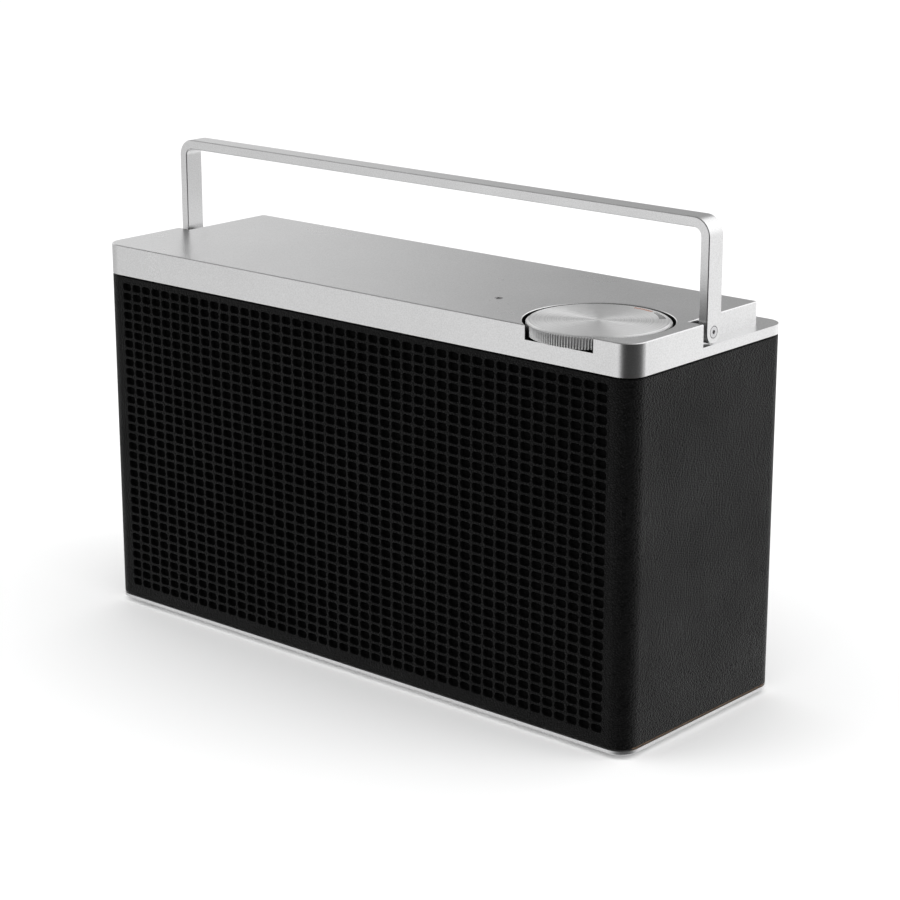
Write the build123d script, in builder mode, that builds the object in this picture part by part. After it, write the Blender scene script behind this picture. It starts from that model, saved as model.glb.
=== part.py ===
from build123d import *
import os
from math import cos, sin, tau

# A portable radio: a low, wide wooden cabinet wrapped in leather, closed by a thin aluminium
# base plate and a satin aluminium cap that carries a fold-back handle and a large knurled dial.
# X runs along the front, Y from the front to the back, Z up from the feet.

os.makedirs("parts", exist_ok=True)

# ---- driving dimensions -------------------------------------------------------------------------
WIDTH = 286.0            # over the leather and the cap, left to right
DEPTH = 100.5            # front face to back face
CORNER_R = 8.0           # the four upright corners
FOOT_H = 2.0
PLATE_T = 1.5            # base plate
REVEAL = 0.6             # shadow gap above and below the leather
CAP_BOTTOM = 150.5
CAP_TOP = 163.5
CAP_WALL = 3.0
CAP_ROOF = 2.5
EDGE_BREAK = 0.3         # the small chamfer on machined edges

DIAL_REACH = 3.4         # the dial's rim stands this far in front of the front face
ANTENNA_REACH = 9.8      # the antenna's knuckle stands this far behind the back face
MID_Y = (DIAL_REACH - ANTENNA_REACH) / 2   # mid-depth of the cabinet, with the whole centred on Y = 0
FRONT_Y = MID_Y - DEPTH / 2
BACK_Y = MID_Y + DEPTH / 2

LEDGE_Z = 154.5          # floor of the rebate that the handle folds down into
LEDGE_SIDE = 7.0         # its width at each side
LEDGE_REAR = 10.1        # its width along the back
LEDGE_FRONT_Y = MID_Y - 6.1

PIVOT_Y = MID_Y + 0.6
PIVOT_Z = 159.4
BAR_T = 4.0              # flat bar of the handle
BAR_W = 9.2
BAR_REACH = 39.9         # pivot to the inner face of the grip
BAR_BEND_R = 5.3         # bend radius at the middle of the bar
PIN_R = 1.5
PIN_HEAD_R = 2.2
RUNNING = 0.05           # radial running clearance of pins, shafts and tubes
SNUG = 0.02              # radial clearance of a part that is fixed in its hole
FIT = 0.1                # clearance of a part that drops into its seat

DIAL_X = 108.7
DIAL_R = 27.8
DIAL_Y = FRONT_Y - DIAL_REACH + DIAL_R
DIAL_BOTTOM = 158.5
DIAL_TOP = 163.7
DIAL_RIBS = 150
RIB_DEPTH = 0.35
DIAL_SMOOTH_H = 0.6      # the plain band above the knurl
DIAL_POCKET_R = 24.3     # the dial is hollow beneath
RECESS_R = 29.1
RECESS_Z = 157.8         # floor of the dial's recess
RECESS_WALL = 2.0
SHAFT_R = 3.0
SLEEVE_R = 3.6
BUSH_R = 4.5

LEATHER_T = 1.6
GLUE_GAP = 0.2
SIDE_WALL = 7.0          # cabinet board thicknesses
FLOOR_T = 6.0
FACE_WALL = 5.0
BOARD_T = 1.6            # circuit boards
DRIVER_X = 68.0
DRIVER_Z = 78.0
DRIVER_HOLE_R = 36.0

PANEL_W = 150.0          # connector panel in the back
PANEL_H = 60.0
PANEL_Z = 46.0           # height of its middle
PANEL_R = 6.0
JACK_X = 44.0
INLET_X = 62.0
SOCKET_Z = 50.0
JACK_BORE_R = 1.8
INLET_BORE_R = 2.9

ANTENNA_X = -112.0
ROD_OUT = 6.2            # the stowed rod's axis is this far behind the back face
ANTENNA_Y = BACK_Y + ROD_OUT
ANTENNA_Z = 136.0
TUBE_RADII = (3.0, 2.5, 2.0, 1.5)
TUBE_ENDS = (178.0, 180.0, 182.0, 184.0)   # far end of each stowed section, from the elbow pin


def level(z):
    """A horizontal plane at height z, centred on the cabinet."""
    return Plane((0, MID_Y, z))


def behind(d):
    """An upright plane d behind the front face; it extrudes towards the front."""
    return Plane.XZ.offset(-(FRONT_Y + d))


def over(x, y, z):
    """A horizontal plane at a point, for round parts that stand on it."""
    return Plane((x, y, z))


# ---- base plate, feet and their screws ----------------------------------------------------------
PLATE_TOP = FOOT_H + PLATE_T
FOOT_R = 7.0
FOOT_GRID = (248.0, 74.0)
SCREW_R = 1.5
SCREW_HEAD_R = 2.8
HEAD_RECESS = 1.5        # the feet's screws sit this deep in the rubber
HEAD_H = 1.1

with BuildPart() as base_plate:
    with BuildSketch(level(FOOT_H)):
        RectangleRounded(WIDTH, DEPTH, CORNER_R)
        with GridLocations(*FOOT_GRID, 2, 2):
            Circle(SCREW_R + FIT, mode=Mode.SUBTRACT)
    extrude(amount=PLATE_T)
    chamfer(base_plate.faces().sort_by(Axis.Z)[0].outer_wire().edges(), EDGE_BREAK)
base_plate.part.label = "base_plate"
export_step(base_plate.part, "parts/base_plate.step")

with BuildPart() as feet:
    with BuildSketch(level(0)):
        with GridLocations(*FOOT_GRID, 2, 2):
            Circle(FOOT_R)
            Circle(SCREW_HEAD_R + 0.4, mode=Mode.SUBTRACT)
    extrude(amount=HEAD_RECESS)
    with BuildSketch(level(HEAD_RECESS)):
        with GridLocations(*FOOT_GRID, 2, 2):
            Circle(FOOT_R)
            Circle(SCREW_R + FIT, mode=Mode.SUBTRACT)
    extrude(amount=FOOT_H - HEAD_RECESS)
feet.part.label = "rubber_feet"
export_step(feet.part, "parts/rubber_feet.step")

BASE_SCREW_TIP = PLATE_TOP + 5.0
with BuildPart() as base_screws:
    with BuildSketch(level(HEAD_RECESS - HEAD_H)):
        with GridLocations(*FOOT_GRID, 2, 2):
            Circle(SCREW_HEAD_R)
    extrude(amount=HEAD_H)
    with BuildSketch(level(HEAD_RECESS)):
        with GridLocations(*FOOT_GRID, 2, 2):
            Circle(SCREW_R)
    extrude(amount=BASE_SCREW_TIP - HEAD_RECESS)
base_screws.part.label = "base_screws"
export_step(base_screws.part, "parts/base_screws.step")

# ---- leather wrap -------------------------------------------------------------------------------
# One skin round all four sides, open above and below, cut out behind for the connector panel
# and the antenna's spigot.
LEATHER_BOTTOM = PLATE_TOP + REVEAL
LEATHER_TOP = CAP_BOTTOM - REVEAL
SPIGOT_R = 3.0
CUT_SLACK = 0.3          # all round a part that is let in

with BuildPart() as leather:
    with BuildSketch(level(LEATHER_BOTTOM)):
        RectangleRounded(WIDTH, DEPTH, CORNER_R)
        inner = (WIDTH - 2 * LEATHER_T, DEPTH - 2 * LEATHER_T)
        RectangleRounded(*inner, CORNER_R - LEATHER_T, mode=Mode.SUBTRACT)
    extrude(amount=LEATHER_TOP - LEATHER_BOTTOM)
    with BuildSketch(behind(DEPTH + 1)):
        with Locations((0, PANEL_Z)):
            RectangleRounded(PANEL_W + 2 * CUT_SLACK, PANEL_H + 2 * CUT_SLACK, PANEL_R + CUT_SLACK)
        with Locations((ANTENNA_X, ANTENNA_Z)):
            Circle(SPIGOT_R + CUT_SLACK)
    extrude(amount=LEATHER_T + 2, mode=Mode.SUBTRACT)
leather.part.label = "leather_wrap"
export_step(leather.part, "parts/leather_wrap.step")

# ---- cabinet ------------------------------------------------------------------------------------
# A glued board box: a window in the front for sound, one behind for the connector panel, and one
# in the top for the dial's encoder.
SKIN = LEATHER_T + GLUE_GAP
CLOTH_AREA = (268.0, 141.0)
CLOTH_Z = 78.3
CLOTH_REBATE = 0.6
ROOM_BOTTOM = PLATE_TOP + FLOOR_T
ROOM_TOP = CAP_BOTTOM - FLOOR_T
ROOM_W = WIDTH - 2 * (SKIN + SIDE_WALL)
ROOM_FRONT = SKIN + FACE_WALL             # measured back from the front face
ROOM_BACK = DEPTH - SKIN - FACE_WALL
PANEL_INNER = DEPTH - 3.6                 # where the connector panel seats
CAP_SCREWS = ((-122, -33), (68, -33), (-122, 30), (122, 30))   # from mid-depth
ENCODER_BAY = 28.0
SOUND_WINDOW = (252.0, 126.0)
PANEL_LIP = 7.0          # the connector panel rests on this much board all round
PANEL_SCREWS = (PANEL_W - 9.0, PANEL_H - 9.0)

with BuildPart() as cabinet:
    with BuildSketch(level(PLATE_TOP)):
        RectangleRounded(WIDTH - 2 * SKIN, DEPTH - 2 * SKIN, CORNER_R - SKIN)
    extrude(amount=CAP_BOTTOM - PLATE_TOP)
    with BuildSketch(behind(ROOM_BACK)):
        with Locations((0, (ROOM_BOTTOM + ROOM_TOP) / 2)):
            Rectangle(ROOM_W, ROOM_TOP - ROOM_BOTTOM)
    extrude(amount=ROOM_BACK - ROOM_FRONT, mode=Mode.SUBTRACT)
    with BuildSketch(behind(ROOM_FRONT + 1)):
        with Locations((0, DRIVER_Z)):
            Rectangle(*SOUND_WINDOW)
    extrude(amount=FACE_WALL + 2, mode=Mode.SUBTRACT)
    with BuildSketch(behind(SKIN + CLOTH_REBATE)):
        with Locations((0, CLOTH_Z)):
            Rectangle(*CLOTH_AREA)
    extrude(amount=1, mode=Mode.SUBTRACT)
    with BuildSketch(behind(DEPTH)):
        with Locations((0, PANEL_Z)):
            Rectangle(PANEL_W - 2 * PANEL_LIP, PANEL_H - 2 * PANEL_LIP)
    extrude(amount=SKIN + FACE_WALL + 1, mode=Mode.SUBTRACT)
    with BuildSketch(behind(DEPTH)):
        with Locations((0, PANEL_Z)):
            RectangleRounded(PANEL_W + 2 * CUT_SLACK, PANEL_H + 2 * CUT_SLACK, PANEL_R + CUT_SLACK)
    extrude(amount=DEPTH - PANEL_INNER, mode=Mode.SUBTRACT)
    with BuildSketch(behind(DEPTH)):
        with Locations((ANTENNA_X, ANTENNA_Z)):
            Circle(SPIGOT_R + FIT)
        with Locations((0, PANEL_Z)):
            with GridLocations(*PANEL_SCREWS, 2, 2):
                Circle(SCREW_R - 0.3)
    extrude(amount=SKIN + FACE_WALL + 1, mode=Mode.SUBTRACT)
    with BuildSketch(level(ROOM_TOP - 1)):
        with Locations(*CAP_SCREWS):
            Circle(SCREW_R + 0.2)
        with Locations((DIAL_X, DIAL_Y - MID_Y)):
            Rectangle(ENCODER_BAY, ENCODER_BAY)
    extrude(amount=FLOOR_T + 2, mode=Mode.SUBTRACT)
    with BuildSketch(level(PLATE_TOP)):
        with GridLocations(*FOOT_GRID, 2, 2):
            Circle(SCREW_R)
    extrude(amount=BASE_SCREW_TIP - PLATE_TOP + 0.5, mode=Mode.SUBTRACT)
cabinet.part.label = "cabinet"
export_step(cabinet.part, "parts/cabinet.step")

# ---- sound: cloth, baffle and two drivers -------------------------------------------------------
BAFFLE_FRONT = ROOM_FRONT
BAFFLE_T = 6.0
BAFFLE_BACK = BAFFLE_FRONT + BAFFLE_T
FLANGE_R = 41.0
FLANGE_T = 2.4
DRIVER_SCREWS_R = FLANGE_R - 2.6
DRIVER_SCREW_R = 1.0
DRIVER_HEAD_R = 2.2
CLOTH_T = 0.5

with BuildPart() as cloth:
    with BuildSketch(behind(SKIN + CLOTH_REBATE - 0.05)):
        with Locations((0, CLOTH_Z)):
            Rectangle(CLOTH_AREA[0] - 0.6, CLOTH_AREA[1] - 0.6)
    extrude(amount=CLOTH_T)
cloth.part.label = "acoustic_cloth"
export_step(cloth.part, "parts/acoustic_cloth.step")

with BuildPart() as baffle:
    with BuildSketch(behind(BAFFLE_BACK)):
        with Locations((0, (ROOM_BOTTOM + ROOM_TOP) / 2)):
            Rectangle(ROOM_W - 0.4, ROOM_TOP - ROOM_BOTTOM - 0.4)
        with Locations((-DRIVER_X, DRIVER_Z), (DRIVER_X, DRIVER_Z)):
            Circle(DRIVER_HOLE_R, mode=Mode.SUBTRACT)
            with PolarLocations(DRIVER_SCREWS_R, 4, start_angle=45):
                Circle(DRIVER_SCREW_R, mode=Mode.SUBTRACT)
    extrude(amount=BAFFLE_T)
baffle.part.label = "speaker_baffle"
export_step(baffle.part, "parts/speaker_baffle.step")


def depth_y(d):
    """The Y of a point d behind the front face."""
    return FRONT_Y + d


MAGNET_FRONT = 38.0      # the drivers' depths are measured back from the front face
MAGNET_T = 14.0
MAGNET_R = 22.0
POLE_R = 10.0
THROAT_R = 13.0          # the hole in the basket's back
MOUTH_R = 33.0           # the basket's opening at its flange
SHEET = 1.5              # pressed steel
CONE_R = 32.0
COIL_R = 12.0
COIL_BACK = 27.0
BASKET_WINDOW = (10.0, 22.0)
for side, driver_x in (("left", -DRIVER_X), ("right", DRIVER_X)):
    spin = Axis((driver_x, 0, DRIVER_Z), (0, 1, 0))

    # Pressed steel basket: flange, sloping wall and a flat back, with four windows in the wall.
    with BuildPart() as basket:
        with BuildSketch(Plane.YZ.offset(driver_x)):
            with BuildLine():
                Polyline(
                    (depth_y(BAFFLE_FRONT), DRIVER_Z + FLANGE_R),
                    (depth_y(BAFFLE_FRONT - FLANGE_T), DRIVER_Z + FLANGE_R),
                    (depth_y(BAFFLE_FRONT - FLANGE_T), DRIVER_Z + MOUTH_R),
                    (depth_y(BAFFLE_FRONT), DRIVER_Z + MOUTH_R),
                    (depth_y(MAGNET_FRONT - SHEET), DRIVER_Z + THROAT_R + 7),
                    (depth_y(MAGNET_FRONT - SHEET), DRIVER_Z + THROAT_R),
                    (depth_y(MAGNET_FRONT), DRIVER_Z + THROAT_R),
                    (depth_y(MAGNET_FRONT), DRIVER_Z + THROAT_R + 7 + SHEET),
                    (depth_y(BAFFLE_FRONT + 0.5), DRIVER_Z + MOUTH_R + 2),
                    (depth_y(BAFFLE_FRONT), DRIVER_Z + MOUTH_R + 2),
                    close=True,
                )
            make_face()
        revolve(axis=spin)
        with BuildSketch(behind(MAGNET_FRONT - 4)):
            with Locations((driver_x, DRIVER_Z)):
                with PolarLocations(28.0, 4):
                    Rectangle(*BASKET_WINDOW)
        extrude(amount=MAGNET_FRONT - BAFFLE_BACK - 6, mode=Mode.SUBTRACT)
        with BuildSketch(behind(BAFFLE_FRONT)):
            with Locations((driver_x, DRIVER_Z)):
                with PolarLocations(DRIVER_SCREWS_R, 4, start_angle=45):
                    Circle(SCREW_R)
        extrude(amount=FLANGE_T, mode=Mode.SUBTRACT)
    basket.part.label = f"{side}_driver_basket"
    export_step(basket.part, f"parts/{side}_driver_basket.step")

    # Paper cone with its rolled surround and dust cap in one skin.
    with BuildPart() as cone:
        with BuildSketch(Plane.YZ.offset(driver_x)):
            with BuildLine():
                Polyline(
                    (depth_y(7.2), DRIVER_Z + CONE_R),
                    (depth_y(6.2), DRIVER_Z + 30.0),
                    (depth_y(7.4), DRIVER_Z + 27.5),
                    (depth_y(20.0), DRIVER_Z + COIL_R),
                    (depth_y(17.4), DRIVER_Z + 7.0),
                    (depth_y(16.4), DRIVER_Z),
                    (depth_y(17.2), DRIVER_Z),
                    (depth_y(18.2), DRIVER_Z + 6.6),
                    (depth_y(20.4), DRIVER_Z + COIL_R - 1),
                    (depth_y(COIL_BACK), DRIVER_Z + COIL_R - 1),
                    (depth_y(COIL_BACK), DRIVER_Z + COIL_R),
                    (depth_y(21.4), DRIVER_Z + COIL_R),
                    (depth_y(8.2), DRIVER_Z + 28.2),
                    (depth_y(7.0), DRIVER_Z + 30.4),
                    (depth_y(7.6), DRIVER_Z + CONE_R),
                    close=True,
                )
            make_face()
        revolve(axis=spin)
    cone.part.label = f"{side}_driver_cone"
    export_step(cone.part, f"parts/{side}_driver_cone.step")

    # Ring magnet between its plates, with the pole standing inside the voice coil.
    with BuildPart() as magnet:
        with BuildSketch(behind(MAGNET_FRONT + MAGNET_T)):
            with Locations((driver_x, DRIVER_Z)):
                Circle(MAGNET_R)
        extrude(amount=MAGNET_T)
        with BuildSketch(behind(MAGNET_FRONT)):
            with Locations((driver_x, DRIVER_Z)):
                Circle(POLE_R)
        extrude(amount=MAGNET_T)
    magnet.part.label = f"{side}_driver_magnet"
    export_step(magnet.part, f"parts/{side}_driver_magnet.step")

with BuildPart() as driver_screws:
    with BuildSketch(behind(BAFFLE_FRONT - FLANGE_T)):
        with Locations((-DRIVER_X, DRIVER_Z), (DRIVER_X, DRIVER_Z)):
            with PolarLocations(DRIVER_SCREWS_R, 4, start_angle=45):
                Circle(DRIVER_HEAD_R)
    extrude(amount=1.2)
    with BuildSketch(behind(BAFFLE_BACK - 1)):
        with Locations((-DRIVER_X, DRIVER_Z), (DRIVER_X, DRIVER_Z)):
            with PolarLocations(DRIVER_SCREWS_R, 4, start_angle=45):
                Circle(DRIVER_SCREW_R)
    extrude(amount=BAFFLE_T + FLANGE_T - 1)
driver_screws.part.label = "driver_screws"
export_step(driver_screws.part, "parts/driver_screws.step")

# ---- aluminium cap ------------------------------------------------------------------------------
# A casting machined all over: rebated round the sides and the back for the handle, recessed for
# the dial, hollow beneath, with four screw bosses.
BLOCK_W = WIDTH - 2 * LEDGE_SIDE
BLOCK_BACK = DEPTH - LEDGE_REAR
DIAL_FROM_MID = DIAL_Y - MID_Y
LIGHT_X = 56.0
LIGHT_Y = -22.0          # from mid-depth
LIGHT_R = 0.8
DIMPLE_R = 1.8           # the lens sits in a shallow round dimple
DIMPLE_DEPTH = 0.4
BOSS_R = 4.0
BLOCK_CORNER_R = 1.2
SCREW_DEPTH = 9.0

with BuildPart() as cap:
    with BuildSketch(level(CAP_BOTTOM)):
        RectangleRounded(WIDTH, DEPTH, CORNER_R)
    extrude(amount=CAP_TOP - CAP_BOTTOM)
    with BuildSketch(level(LEDGE_Z)):
        with Locations((0, (LEDGE_FRONT_Y - MID_Y + DEPTH) / 2)):
            Rectangle(WIDTH + 2, DEPTH - LEDGE_FRONT_Y + MID_Y)
        with Locations((0, DEPTH / 2 - LEDGE_REAR - 50)):
            RectangleRounded(BLOCK_W, 100, BLOCK_CORNER_R, mode=Mode.SUBTRACT)
    extrude(amount=CAP_TOP - LEDGE_Z, mode=Mode.SUBTRACT)
    with BuildSketch(level(CAP_BOTTOM)):
        with Locations((0, -LEDGE_REAR / 2)):
            Rectangle(BLOCK_W - 2 * CAP_WALL, BLOCK_BACK - 2 * CAP_WALL)
    extrude(amount=CAP_TOP - CAP_ROOF - CAP_BOTTOM, mode=Mode.SUBTRACT)
    with BuildSketch(level(RECESS_Z - RECESS_WALL)):
        with Locations((DIAL_X, DIAL_FROM_MID)):
            Circle(RECESS_R + RECESS_WALL)
        with Locations((0, 0)):
            RectangleRounded(WIDTH, DEPTH, CORNER_R, mode=Mode.INTERSECT)
    extrude(amount=CAP_TOP - RECESS_Z + RECESS_WALL)
    with BuildSketch(level(CAP_BOTTOM)):
        with Locations(*CAP_SCREWS):
            Circle(BOSS_R)
    extrude(amount=CAP_TOP - CAP_ROOF - CAP_BOTTOM)
    with BuildSketch(level(RECESS_Z)):
        with Locations((DIAL_X, DIAL_FROM_MID)):
            Circle(RECESS_R)
    extrude(amount=CAP_TOP - RECESS_Z, mode=Mode.SUBTRACT)
    with BuildSketch(level(CAP_BOTTOM)):
        with Locations((DIAL_X, DIAL_FROM_MID)):
            Circle(BUSH_R + FIT)
        with Locations((LIGHT_X, LIGHT_Y)):
            Circle(LIGHT_R + FIT)
    extrude(amount=CAP_TOP - CAP_BOTTOM, mode=Mode.SUBTRACT)
    with BuildSketch(level(CAP_BOTTOM)):
        with Locations(*CAP_SCREWS):
            Circle(SCREW_R)
    extrude(amount=SCREW_DEPTH, mode=Mode.SUBTRACT)
    with BuildSketch(Plane.YZ.offset(-WIDTH / 2)):
        with Locations((PIVOT_Y, PIVOT_Z)):
            Circle(PIN_R)
    extrude(amount=WIDTH, mode=Mode.SUBTRACT)
    with BuildSketch(level(CAP_TOP - DIMPLE_DEPTH)):
        with Locations((LIGHT_X, LIGHT_Y)):
            Circle(DIMPLE_R)
    extrude(amount=DIMPLE_DEPTH, mode=Mode.SUBTRACT)
    top_edges = cap.faces().sort_by(Axis.Z)[-1].outer_wire().edges()
    chamfer(top_edges, EDGE_BREAK)
cap.part.label = "top_cap"
export_step(cap.part, "parts/top_cap.step")

with BuildPart() as cap_screws:
    with BuildSketch(level(ROOM_TOP - 2)):
        with Locations(*CAP_SCREWS):
            Circle(SCREW_HEAD_R)
    extrude(amount=2)
    with BuildSketch(level(ROOM_TOP)):
        with Locations(*CAP_SCREWS):
            Circle(SCREW_R - SNUG)
    extrude(amount=14)
cap_screws.part.label = "cap_screws"
export_step(cap_screws.part, "parts/cap_screws.step")

with BuildPart() as light:
    with BuildSketch(level(CAP_TOP - CAP_ROOF)):
        with Locations((LIGHT_X, LIGHT_Y)):
            Circle(LIGHT_R)
    extrude(amount=CAP_ROOF - DIMPLE_DEPTH - FIT)
light.part.label = "status_light_lens"
export_step(light.part, "parts/status_light_lens.step")

# ---- handle -------------------------------------------------------------------------------------
# Flat bar bent to a U, with round ends that turn on two shouldered pins let in flush.
HANDLE_TOP = PIVOT_Z + BAR_REACH + BAR_T
ARM_X = WIDTH / 2 - BAR_T / 2
HEAD_T = 1.2
HEAD_SLACK = 0.25
SPACER_R = 3.2
SOCKET_ACROSS = 0.9      # the hexagon in each pin's head
HEX_DEPTH = 0.6
SPACER_X = (WIDTH / 2 - LEDGE_SIDE, WIDTH / 2 - BAR_T - 0.15)

with BuildPart() as handle:
    with BuildSketch(Plane.XZ.offset(-PIVOT_Y)):
        with BuildLine():
            FilletPolyline(
                (-ARM_X, PIVOT_Z - BAR_W),
                (-ARM_X, HANDLE_TOP - BAR_T / 2),
                (ARM_X, HANDLE_TOP - BAR_T / 2),
                (ARM_X, PIVOT_Z - BAR_W),
                radius=BAR_BEND_R,
            )
        trace(line_width=BAR_T)
    extrude(amount=BAR_W / 2, both=True)
    with BuildSketch(Plane.YZ.offset(-WIDTH / 2)):
        with Locations((PIVOT_Y, PIVOT_Z)):
            Circle(BAR_W / 2)
        with Locations((PIVOT_Y, (PIVOT_Z + HANDLE_TOP) / 2)):
            Rectangle(BAR_W, HANDLE_TOP - PIVOT_Z)
    extrude(amount=WIDTH, mode=Mode.INTERSECT)
    edged = handle.faces().filter_by(Axis.Y).edges()
    chamfer([e for e in edged if e.center().Z > PIVOT_Z + 1], EDGE_BREAK)
    with BuildSketch(Plane.YZ.offset(-WIDTH / 2)):
        with Locations((PIVOT_Y, PIVOT_Z)):
            Circle(PIN_R + RUNNING)
    extrude(amount=WIDTH, mode=Mode.SUBTRACT)
    with BuildSketch(Plane.YZ.offset(-WIDTH / 2), Plane.YZ.offset(WIDTH / 2 - HEAD_T - FIT)):
        with Locations((PIVOT_Y, PIVOT_Z)):
            Circle(PIN_HEAD_R + HEAD_SLACK)
    extrude(amount=HEAD_T + FIT, mode=Mode.SUBTRACT)
handle.part.label = "handle_bar"
export_step(handle.part, "parts/handle_bar.step")

with BuildPart() as pins:
    with BuildSketch(Plane.YZ.offset(WIDTH / 2 - HEAD_T)):
        with Locations((PIVOT_Y, PIVOT_Z)):
            Circle(PIN_HEAD_R)
    extrude(amount=HEAD_T)
    with BuildSketch(Plane.YZ.offset(SPACER_X[0] - CAP_WALL)):
        with Locations((PIVOT_Y, PIVOT_Z)):
            Circle(PIN_R)
    extrude(amount=LEDGE_SIDE + CAP_WALL - HEAD_T)
    with BuildSketch(Plane.YZ.offset(WIDTH / 2 - HEX_DEPTH)):
        with Locations((PIVOT_Y, PIVOT_Z)):
            RegularPolygon(SOCKET_ACROSS, 6)
    extrude(amount=HEX_DEPTH, mode=Mode.SUBTRACT)
    mirror(about=Plane.YZ)
pins.part.label = "handle_pivot_pins"
export_step(pins.part, "parts/handle_pivot_pins.step")

with BuildPart() as spacers:
    with BuildSketch(Plane.YZ.offset(SPACER_X[0])):
        with Locations((PIVOT_Y, PIVOT_Z)):
            Circle(SPACER_R)
            Circle(PIN_R + RUNNING, mode=Mode.SUBTRACT)
    extrude(amount=SPACER_X[1] - SPACER_X[0])
    mirror(about=Plane.YZ)
spacers.part.label = "handle_spacers"
export_step(spacers.part, "parts/handle_spacers.step")

# ---- dial, its shaft and the encoder beneath it -------------------------------------------------
# The dial turns without end on the push sleeve, and the sleeve sinks 0.5 mm to work a switch.
HUB_R = 5.5
HUB_BOTTOM = 160.3
DIAL_ROOF = 161.8
ENCODER_W = 14.0
ENCODER_BOTTOM = 143.8
ENCODER_TOP = 151.6
BUSH_TOP = 159.4
SLEEVE_BOTTOM = 146.0
RIM_CHAMFER = 0.5
SHAFT_CAP = 1.3          # metal left above the shaft's bore
NUT_T = 1.4
NUT_R = 7.0
SLEEVE_GAP = 0.2         # between the hub and the push sleeve
PRESS_ROOM = 0.8         # beneath the sleeve, for the push


def knurl_point(step):
    """Corner of the knurled outline: tips and roots take turns."""
    radius = DIAL_R if step % 2 == 0 else DIAL_R - RIB_DEPTH
    angle = tau * step / (2 * DIAL_RIBS)
    return (radius * cos(angle), radius * sin(angle))


with BuildPart() as dial:
    with BuildSketch(over(DIAL_X, DIAL_Y, DIAL_BOTTOM)):
        with BuildLine():
            Polyline(*[knurl_point(step) for step in range(2 * DIAL_RIBS)], close=True)
        make_face()
    extrude(amount=DIAL_TOP - DIAL_SMOOTH_H - DIAL_BOTTOM)
    with BuildSketch(over(DIAL_X, DIAL_Y, DIAL_TOP - DIAL_SMOOTH_H)):
        Circle(DIAL_R - RIB_DEPTH)
    extrude(amount=DIAL_SMOOTH_H)
    chamfer(dial.faces().sort_by(Axis.Z)[-1].edges(), RIM_CHAMFER)
    with BuildSketch(over(DIAL_X, DIAL_Y, DIAL_BOTTOM)):
        Circle(DIAL_POCKET_R)
    extrude(amount=DIAL_ROOF - DIAL_BOTTOM, mode=Mode.SUBTRACT)
    with BuildSketch(over(DIAL_X, DIAL_Y, HUB_BOTTOM)):
        Circle(HUB_R)
    extrude(amount=DIAL_ROOF - HUB_BOTTOM)
    with BuildSketch(over(DIAL_X, DIAL_Y, HUB_BOTTOM)):
        Circle(SHAFT_R + SNUG)
    extrude(amount=DIAL_TOP - SHAFT_CAP - HUB_BOTTOM, mode=Mode.SUBTRACT)
dial.part.label = "dial"
export_step(dial.part, "parts/dial.step")

with BuildPart() as shaft:
    with BuildSketch(over(DIAL_X, DIAL_Y, SLEEVE_BOTTOM)):
        Circle(SHAFT_R)
    extrude(amount=DIAL_TOP - SHAFT_CAP - FIT - SLEEVE_BOTTOM)
shaft.part.label = "dial_shaft"
export_step(shaft.part, "parts/dial_shaft.step")

with BuildPart() as sleeve:
    with BuildSketch(over(DIAL_X, DIAL_Y, SLEEVE_BOTTOM)):
        Circle(SLEEVE_R)
        Circle(SHAFT_R + RUNNING, mode=Mode.SUBTRACT)
    extrude(amount=HUB_BOTTOM - SLEEVE_GAP - SLEEVE_BOTTOM)
sleeve.part.label = "dial_push_sleeve"
export_step(sleeve.part, "parts/dial_push_sleeve.step")

with BuildPart() as encoder:
    with BuildSketch(over(DIAL_X, DIAL_Y, ENCODER_BOTTOM)):
        RectangleRounded(ENCODER_W, ENCODER_W, 1)
    extrude(amount=ENCODER_TOP - ENCODER_BOTTOM)
    with BuildSketch(over(DIAL_X, DIAL_Y, ENCODER_TOP)):
        Circle(BUSH_R)
    extrude(amount=BUSH_TOP - ENCODER_TOP)
    with BuildSketch(over(DIAL_X, DIAL_Y, SLEEVE_BOTTOM - PRESS_ROOM)):
        Circle(SLEEVE_R + RUNNING)
    extrude(amount=BUSH_TOP - SLEEVE_BOTTOM + PRESS_ROOM, mode=Mode.SUBTRACT)
encoder.part.label = "rotary_encoder"
export_step(encoder.part, "parts/rotary_encoder.step")

with BuildPart() as encoder_nut:
    with BuildSketch(over(DIAL_X, DIAL_Y, RECESS_Z)):
        RegularPolygon(NUT_R, 6)
        Circle(BUSH_R + SNUG, mode=Mode.SUBTRACT)
    extrude(amount=NUT_T)
encoder_nut.part.label = "encoder_nut"
export_step(encoder_nut.part, "parts/encoder_nut.step")

CONTROL_BOARD = (44.0, 21.0)
CONTROL_CHIPS = ((-12, 4), (8, -5))
CONTROL_CHIP_W = 7.0
CONTROL_CHIP_H = 1.8
CONTROL_BOARD_X = DIAL_X - 6.6

with BuildPart() as control_board:
    with BuildSketch(over(CONTROL_BOARD_X, DIAL_Y, ENCODER_BOTTOM - BOARD_T)):
        Rectangle(*CONTROL_BOARD)
    extrude(amount=BOARD_T)
    with BuildSketch(over(CONTROL_BOARD_X, DIAL_Y, ENCODER_BOTTOM - BOARD_T - CONTROL_CHIP_H)):
        with Locations(*CONTROL_CHIPS):
            Rectangle(CONTROL_CHIP_W, CONTROL_CHIP_W)
    extrude(amount=CONTROL_CHIP_H)
control_board.part.label = "control_board"
export_step(control_board.part, "parts/control_board.step")

# ---- receiver, amplifier and battery ------------------------------------------------------------
BOARD_Z = ROOM_BOTTOM + 4
BOARD_Y = MID_Y + 18.0

MAIN_BOARD = (150.0, 44.0)
STANDOFFS = (138.0, 34.0)
STANDOFF_R = 2.5
AMPLIFIER_W = 14.0
CHIP_SIZE = (8.0, 6.0)
CHIP_H = 1.4
CAPACITOR_R = 4.0
CAPACITOR_H = 8.0

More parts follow.
